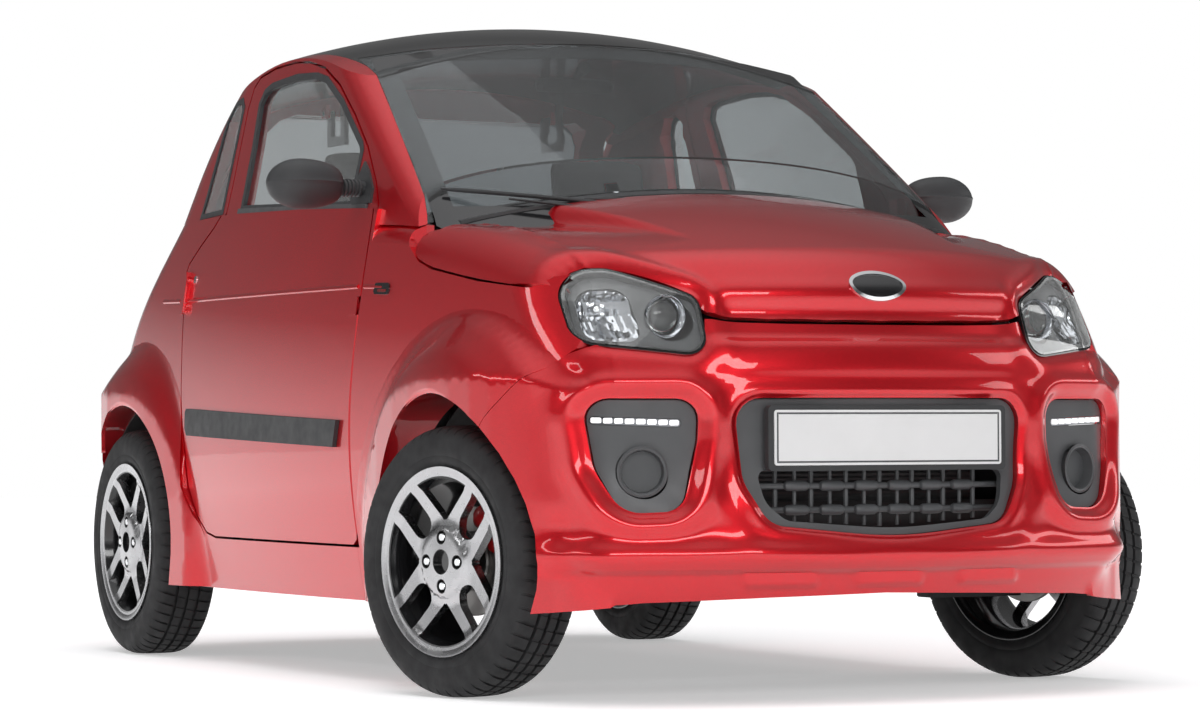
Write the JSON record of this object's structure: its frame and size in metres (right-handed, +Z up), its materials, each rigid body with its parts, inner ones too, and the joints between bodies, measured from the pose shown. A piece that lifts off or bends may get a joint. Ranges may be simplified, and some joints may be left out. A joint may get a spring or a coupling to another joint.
{
  "type": "microcar",
  "caption": "Small city car with a hollow glazed cabin, side doors, hood and tailgate on hinges, steered front wheels and rolling alloy wheels.",
  "frame": {"origin": "on the ground under the middle of the car, at the bottom centre of its bounding box", "axes": "+Y points to the rear, so the front faces -Y; +X is the car's own left; +Z is up"},
  "size_m": [1.776, 3.0105, 1.5099],
  "materials": {
    "body_red": "metallic red paint under clear coat",
    "roof_black": "gloss black paint",
    "trim_dark": "fine-grained dark grey moulded plastic",
    "structure_dark": "satin black coated metal",
    "cabin_plastic": "grained black moulded plastic",
    "seat_cloth": "dark woven seat cloth",
    "glass_tint": "tinted safety glass",
    "lamp_clear": "clear polycarbonate lens",
    "lamp_red": "red lens",
    "plate_white": "blank white plate",
    "engine_cast": "cast alloy",
    "radiator_metal": "dark finned core",
    "brake_iron": "machined and cast iron",
    "tyre_rubber": "black rubber",
    "rim_alloy": "polished and painted alloy"
  },
  "bodies": {
    "chassis": {"chassis_tub": "structure_dark", "body_side_right": "body_red", "body_side_left": "body_red", "fender_right": "body_red", "fender_left": "body_red", "front_bumper": "body_red", "grille_insert": "trim_dark", "number_plate_front": "plate_white", "fog_inserts": "trim_dark", "headlamp_right": "lamp_clear", "headlamp_left": "lamp_clear", "cowl_panel": "trim_dark", "windscreen": "glass_tint", "roof_panel": "roof_black", "quarter_glass": "glass_tint", "tail_lamps": "lamp_red", "rear_bumper": "body_red", "dashboard": "cabin_plastic", "seat_right": "seat_cloth", "seat_left": "seat_cloth", "steering_wheel": "cabin_plastic", "engine": "engine_cast", "radiator": "radiator_metal", "rear_axle": "structure_dark"},
    "door_right": {"door_right": "body_red", "door_glass_right": "glass_tint", "mirror_right": "trim_dark", "moulding_right": "trim_dark"},
    "door_left": {"door_left": "body_red", "door_glass_left": "glass_tint", "mirror_left": "trim_dark", "moulding_left": "trim_dark"},
    "hood": {"hood": "body_red"},
    "tailgate": {"tailgate": "body_red", "rear_glass": "glass_tint"},
    "knuckle_right": {"knuckle_right": "brake_iron"},
    "knuckle_left": {"knuckle_left": "brake_iron"},
    "wheel_front_right": {"tyre_front_right": "tyre_rubber", "rim_front_right": "rim_alloy"},
    "wheel_front_left": {"tyre_front_left": "tyre_rubber", "rim_front_left": "rim_alloy"},
    "wheel_rear_right": {"tyre_rear_right": "tyre_rubber", "rim_rear_right": "rim_alloy"},
    "wheel_rear_left": {"tyre_rear_left": "tyre_rubber", "rim_rear_left": "rim_alloy"}
  },
  "joints": [
    {"name": "door_right_hinge", "type": "hinge", "parent": "chassis", "child": "door_right", "pos_m": [-0.695, -0.375, 0.65], "axis": [0, 0, 1], "range_deg": [0, 65]},
    {"name": "door_left_hinge", "type": "hinge", "parent": "chassis", "child": "door_left", "pos_m": [0.695, -0.375, 0.65], "axis": [0, 0, -1], "range_deg": [0, 65]},
    {"name": "hood_hinge", "type": "hinge", "parent": "chassis", "child": "hood", "pos_m": [0, -0.612, 0.966], "axis": [-1, 0, 0], "range_deg": [0, 50]},
    {"name": "tailgate_hinge", "type": "hinge", "parent": "chassis", "child": "tailgate", "pos_m": [0, 0.792, 1.34], "axis": [1, 0, 0], "range_deg": [0, 70]},
    {"name": "steer_right", "type": "hinge", "parent": "chassis", "child": "knuckle_right", "pos_m": [-0.641, -0.923, 0.2785], "axis": [0, 0, 1], "range_deg": [-45.3, 14.7]},
    {"name": "steer_left", "type": "hinge", "parent": "chassis", "child": "knuckle_left", "pos_m": [0.641, -0.923, 0.2785], "axis": [0, 0, 1], "range_deg": [-45.3, 14.7]},
    {"name": "wheel_front_right_spin", "type": "hinge", "parent": "knuckle_right", "child": "wheel_front_right", "pos_m": [-0.67958, -0.93356, 0.2785], "axis": [0.9646, 0.2639, 0], "continuous": true},
    {"name": "wheel_front_left_spin", "type": "hinge", "parent": "knuckle_left", "child": "wheel_front_left", "pos_m": [0.67958, -0.91244, 0.2785], "axis": [0.9646, 0.2639, 0], "continuous": true},
    {"name": "wheel_rear_right_spin", "type": "hinge", "parent": "chassis", "child": "wheel_rear_right", "pos_m": [-0.68, 1.028, 0.2785], "axis": [1, 0, 0], "continuous": true},
    {"name": "wheel_rear_left_spin", "type": "hinge", "parent": "chassis", "child": "wheel_rear_left", "pos_m": [0.68, 1.028, 0.2785], "axis": [1, 0, 0], "continuous": true}
  ],
  "couplings": [
    {"joint": "steer_left", "follows": "steer_right", "ratio": 1}
  ]
}
